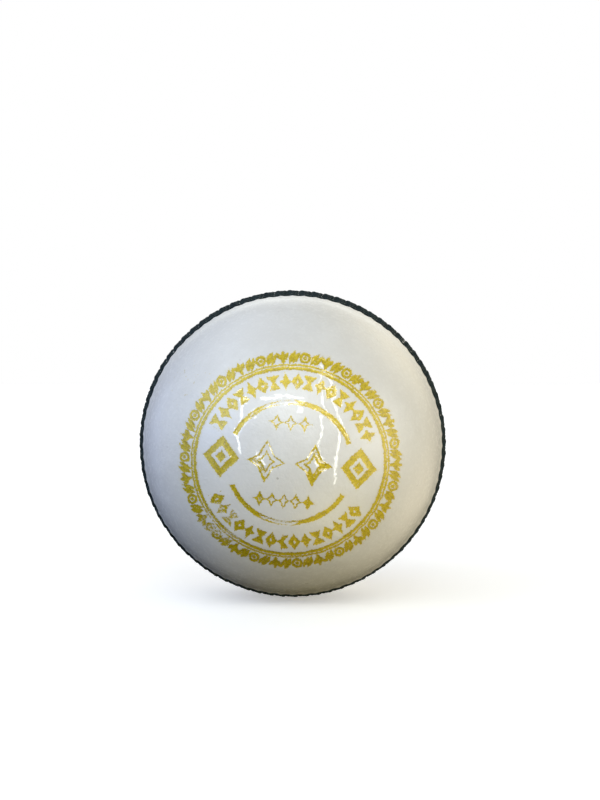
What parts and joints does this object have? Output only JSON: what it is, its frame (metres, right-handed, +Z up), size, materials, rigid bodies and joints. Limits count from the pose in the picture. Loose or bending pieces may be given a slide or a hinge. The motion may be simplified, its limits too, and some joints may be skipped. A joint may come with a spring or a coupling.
{
  "type": "cricket ball",
  "caption": "White leather cricket ball with a raised stitched seam and a two-piece cover over layers of wound yarn and cork on a cork and rubber nucleus.",
  "frame": {"origin": "centre of the ball", "axes": "+Y is the seam's axis, out of the plain rear half; the stamped front half looks along -Y; +Z is up with the ball standing on its seam, which lies in the XZ plane; +X is to the right seen from the front"},
  "size_m": [0.0732, 0.072, 0.0732],
  "materials": {
    "white_leather": "gloss",
    "seam_thread": "matte",
    "lining_leather": "matte",
    "wool_yarn": "matte",
    "cork_sheet": "matte",
    "cork_rubber": "matte"
  },
  "bodies": {
    "root": {"front_cup": "white_leather", "rear_cup": "white_leather", "closing_row_front": "seam_thread", "closing_row_rear": "seam_thread", "middle_row_front": "seam_thread", "middle_row_rear": "seam_thread", "outer_row_front": "seam_thread", "outer_row_rear": "seam_thread", "front_lining": "lining_leather", "rear_lining": "lining_leather", "winding_1": "wool_yarn", "winding_2": "wool_yarn", "winding_3": "wool_yarn", "winding_4": "wool_yarn", "winding_5": "wool_yarn", "cork_1a": "cork_sheet", "cork_1b": "cork_sheet", "cork_2a": "cork_sheet", "cork_2b": "cork_sheet", "cork_3a": "cork_sheet", "cork_3b": "cork_sheet", "cork_4a": "cork_sheet", "cork_4b": "cork_sheet", "nucleus": "cork_rubber"}
  },
  "joints": []
}
